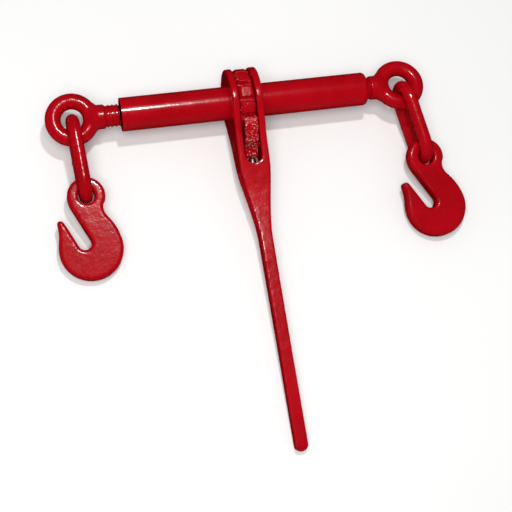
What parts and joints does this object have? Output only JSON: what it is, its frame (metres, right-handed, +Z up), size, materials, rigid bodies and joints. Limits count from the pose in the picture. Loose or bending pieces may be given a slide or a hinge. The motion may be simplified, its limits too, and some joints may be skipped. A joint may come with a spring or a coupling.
{
  "type": "ratchet load binder",
  "caption": "Ratchet tie-down tensioner: a round barrel with a lever handle draws in two eye screws, each carrying a link and a grab hook.",
  "frame": {"origin": "on the floor, under the middle of the whole assembly as it lies on its side", "axes": "+X along the barrel and the screws, -Y along the handle, +Z up from the floor"},
  "size_m": [0.414, 0.3844, 0.067],
  "materials": {
    "red_enamel": "glossy red enamel over forged steel",
    "bare_steel": "oiled bare steel",
    "spring_steel": "oiled spring steel",
    "wiper_plastic": "black nylon"
  },
  "bodies": {
    "barrel": {"barrel_tube": "red_enamel", "ratchet_gear": "red_enamel", "gear_pins": "bare_steel"},
    "handle": {"handle_forging": "red_enamel", "pawl_pin": "red_enamel", "pawl_spring": "spring_steel"},
    "pawl": {"pawl": "red_enamel"},
    "plunger": {"pawl_plunger": "bare_steel"},
    "left_wiper": {"left_wiper_ring": "wiper_plastic"},
    "right_wiper": {"right_wiper_ring": "wiper_plastic"},
    "left_screw": {"left_eye_screw": "red_enamel", "left_stop_collar": "bare_steel"},
    "right_screw": {"right_eye_screw": "red_enamel", "right_stop_collar": "bare_steel"},
    "left_link": {"left_link": "red_enamel"},
    "right_link": {"right_link": "red_enamel"},
    "left_hook": {"left_grab_hook": "red_enamel"},
    "right_hook": {"right_grab_hook": "red_enamel"}
  },
  "joints": [
    {"name": "handle_swing", "type": "hinge", "parent": "barrel", "child": "handle", "pos_m": [-0.00685, 0.15871, 0.0335], "axis": [-1, 0, 0], "continuous": true},
    {"name": "pawl_pivot", "type": "hinge", "parent": "handle", "child": "pawl", "pos_m": [-0.00685, 0.11285, 0.02985], "axis": [1, 0, 0], "range_deg": [-10.5, 10.5]},
    {"name": "plunger_slide", "type": "slide", "parent": "handle", "child": "plunger", "axis": [0, -0.9969, -0.0793], "range_m": [0, 0.0015], "stiffness_N_per_m": 900, "springref_m": -0.004, "deforming": ["pawl_spring"]},
    {"name": "left_spin", "type": "hinge", "parent": "barrel", "child": "left_wiper", "pos_m": [-0.12715, 0.15871, 0.0335], "axis": [1, 0, 0], "range_deg": [-180, 6750]},
    {"name": "left_screw_slide", "type": "slide", "parent": "left_wiper", "child": "left_screw", "axis": [-1, 0, 0], "range_m": [-0.00212, 0.07938]},
    {"name": "right_spin", "type": "hinge", "parent": "barrel", "child": "right_wiper", "pos_m": [0.11944, 0.15871, 0.0335], "axis": [1, 0, 0], "range_deg": [-180.01, 6750.01]},
    {"name": "right_screw_slide", "type": "slide", "parent": "right_wiper", "child": "right_screw", "axis": [1, 0, 0], "range_m": [-0.00212, 0.07938]},
    {"name": "left_link_swing", "type": "hinge", "parent": "left_screw", "child": "left_link", "pos_m": [-0.17766, 0.15871, 0.0335], "axis": [0, -0.1908, 0.9816], "range_deg": [-100, 25]},
    {"name": "right_link_swing", "type": "hinge", "parent": "right_screw", "child": "right_link", "pos_m": [0.15835, 0.15871, 0.0335], "axis": [0, 0, 1], "range_deg": [-25, 100]},
    {"name": "left_hook_swing", "type": "hinge", "parent": "left_link", "child": "left_hook", "pos_m": [-0.17405, 0.08267, 0.02038], "axis": [-0.0011, -0.1633, 0.9866], "range_deg": [-35, 35]},
    {"name": "right_hook_swing", "type": "hinge", "parent": "right_link", "child": "right_hook", "pos_m": [0.17249, 0.0809, 0.02209], "axis": [0.0177, -0.1842, 0.9827], "range_deg": [-35, 35]}
  ],
  "couplings": [
    {"joint": "left_screw_slide", "follows": "left_spin", "m_per_rad": 0.00067376},
    {"joint": "right_spin", "follows": "left_spin", "ratio": 1},
    {"joint": "right_screw_slide", "follows": "left_spin", "m_per_rad": 0.00067376}
  ]
}
